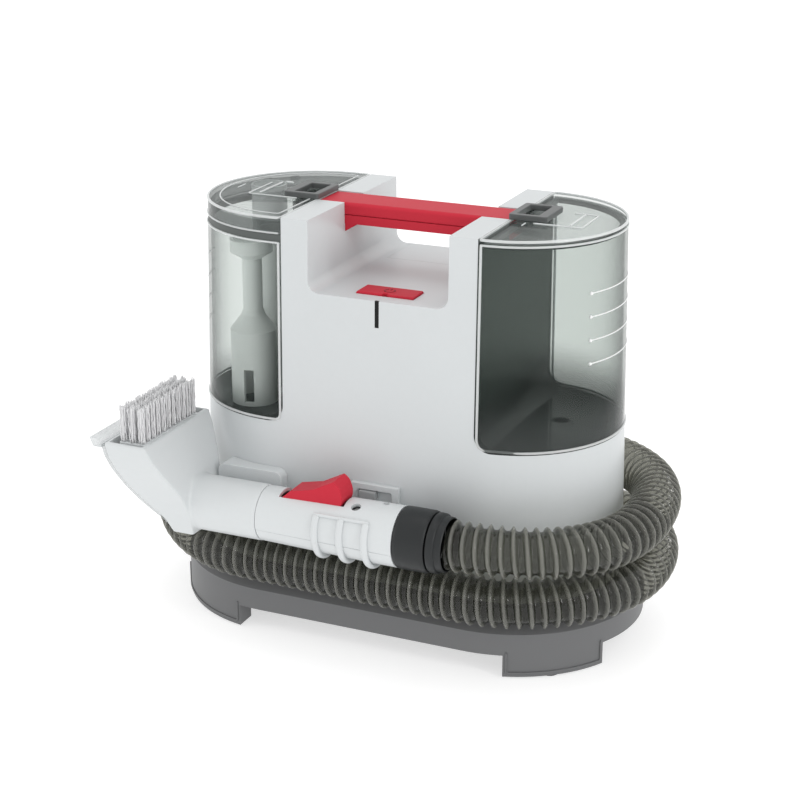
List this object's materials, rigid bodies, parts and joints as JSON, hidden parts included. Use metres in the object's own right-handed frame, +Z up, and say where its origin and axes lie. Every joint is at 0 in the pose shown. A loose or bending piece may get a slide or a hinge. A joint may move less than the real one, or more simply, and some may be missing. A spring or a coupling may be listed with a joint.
{
  "type": "carpet cleaner",
  "caption": "Portable carpet and upholstery cleaner with two side tanks, a red carry handle, a wound suction hose and a docked brush tool.",
  "frame": {"origin": "on the floor, at the middle of the oval body", "axes": "+X to the clean tank, -Y to the front where the tool is docked, +Z up"},
  "size_m": [0.3933, 0.268, 0.3042],
  "materials": {
    "body_white": "semi-gloss moulded",
    "grille_grey": "fine texture",
    "handle_red": "satin moulded",
    "button_red": "satin moulded",
    "trigger_red": "satin moulded",
    "tray_grey": "fine texture",
    "pad_rubber": "moulded",
    "latch_grey": "satin",
    "guide_dark": "polished",
    "catch_grey": "satin",
    "tank_smoke": "clear smoked plastic",
    "tank_clear": "clear plastic with a grey tint",
    "lid_clear": "clear plastic with a grey tint",
    "insert_clear": "frosted clear plastic",
    "float_white": "satin",
    "seal_rubber": "moulded",
    "inner_plastic": "moulded",
    "tube_clear": "soft tube",
    "board_green": "coated board",
    "steel": "bright",
    "motor_steel": "plated",
    "rotor_iron": "laminated",
    "fan_plastic": "moulded",
    "hose_smoke": "clear smoked corrugated plastic",
    "cuff_black": "satin",
    "tool_white": "semi-gloss moulded",
    "window_clear": "clear plastic",
    "bristle_clear": "clear filament"
  },
  "bodies": {
    "machine": {"main_housing": "body_white", "rear_cover": "body_white", "tool_cradle": "body_white", "tool_bracket": "body_white", "exhaust_grille": "grille_grey", "handle_upper": "handle_red", "handle_lower": "handle_red", "base_tray": "tray_grey", "foot_pads": "pad_rubber", "indicator_strip": "guide_dark", "bracket_catch": "catch_grey", "hose_port": "inner_plastic", "cord_gland": "inner_plastic", "valve_seat": "inner_plastic", "power_switch": "inner_plastic", "pump_bracket": "inner_plastic", "motor_deck": "inner_plastic", "motor_mounts": "inner_plastic", "dirty_duct": "inner_plastic", "air_duct": "inner_plastic", "fan_scroll": "inner_plastic", "spray_valve": "inner_plastic", "solution_tubes": "tube_clear", "control_board": "board_green", "base_screws": "steel", "body_screws": "steel", "tool_screws": "steel", "trigger_pin": "steel", "trigger_spring": "steel", "motor_can": "motor_steel", "pump_body": "motor_steel", "hose": "hose_smoke", "hose_collar": "cuff_black", "spray_tip": "cuff_black", "tool_upper_shell": "tool_white", "tool_lower_shell": "tool_white", "nozzle_head": "tool_white", "bristle_bar": "tool_white", "nozzle_window": "window_clear", "bristle_tufts": "bristle_clear"},
    "power_button": {"power_button": "button_red", "button_spring": "steel"},
    "clean_tank": {"clean_tank": "tank_smoke", "tank_valve_cap": "inner_plastic"},
    "clean_lid": {"clean_tank_lid": "lid_clear", "clean_lid_seal": "seal_rubber"},
    "clean_latch": {"clean_tank_latch": "latch_grey"},
    "valve_plunger": {"tank_valve_plunger": "inner_plastic", "tank_valve_spring": "steel"},
    "dirty_tank": {"dirty_tank": "tank_clear", "separator_insert": "insert_clear"},
    "dirty_lid": {"dirty_tank_lid": "lid_clear", "dirty_lid_gasket": "seal_rubber", "float_cage": "float_white"},
    "dirty_latch": {"dirty_tank_latch": "latch_grey"},
    "tank_float": {"tank_float": "float_white"},
    "spray_trigger": {"spray_trigger": "trigger_red"},
    "fan_rotor": {"motor_rotor": "rotor_iron", "fan_impeller": "fan_plastic"},
    "hose_cuff": {"hose_cuff": "cuff_black"}
  },
  "joints": [
    {"name": "button_press", "type": "slide", "parent": "machine", "child": "power_button", "axis": [0, 0, -1], "range_m": [0, 0.002], "stiffness_N_per_m": 800, "springref_m": -0.001},
    {"name": "clean_tank_lift", "type": "slide", "parent": "machine", "child": "clean_tank", "axis": [0, 0, 1], "range_m": [0, 0.16]},
    {"name": "clean_lid_lift", "type": "slide", "parent": "clean_tank", "child": "clean_lid", "axis": [0, 0, 1], "range_m": [0, 0.06]},
    {"name": "clean_latch_pull", "type": "slide", "parent": "clean_lid", "child": "clean_latch", "axis": [1, 0, 0], "range_m": [0, 0.006], "stiffness_N_per_m": 300, "springref_m": -0.003},
    {"name": "valve_lift", "type": "slide", "parent": "clean_tank", "child": "valve_plunger", "axis": [0, 0, 1], "range_m": [0, 0.003], "stiffness_N_per_m": 200, "springref_m": -0.001},
    {"name": "dirty_tank_lift", "type": "slide", "parent": "machine", "child": "dirty_tank", "axis": [0, 0, 1], "range_m": [0, 0.16]},
    {"name": "dirty_lid_lift", "type": "slide", "parent": "dirty_tank", "child": "dirty_lid", "axis": [0, 0, 1], "range_m": [0, 0.06]},
    {"name": "dirty_latch_pull", "type": "slide", "parent": "dirty_lid", "child": "dirty_latch", "axis": [-1, 0, 0], "range_m": [0, 0.006], "stiffness_N_per_m": 300, "springref_m": -0.003},
    {"name": "float_rise", "type": "slide", "parent": "dirty_lid", "child": "tank_float", "axis": [0, 0, 1], "range_m": [0, 0.016]},
    {"name": "trigger_squeeze", "type": "hinge", "parent": "machine", "child": "spray_trigger", "pos_m": [-0.042, -0.108, 0.114], "axis": [0, 1, 0], "range_deg": [0, 8], "stiffness_Nm_per_rad": 2, "springref_deg": -5.73},
    {"name": "rotor_spin", "type": "hinge", "parent": "machine", "child": "fan_rotor", "pos_m": [0.006, 0, 0.15], "axis": [0, 0, 1], "continuous": true},
    {"name": "cuff_swivel", "type": "hinge", "parent": "machine", "child": "hose_cuff", "pos_m": [0.051, -0.108, 0.1], "axis": [1, 0, 0], "continuous": true}
  ]
}
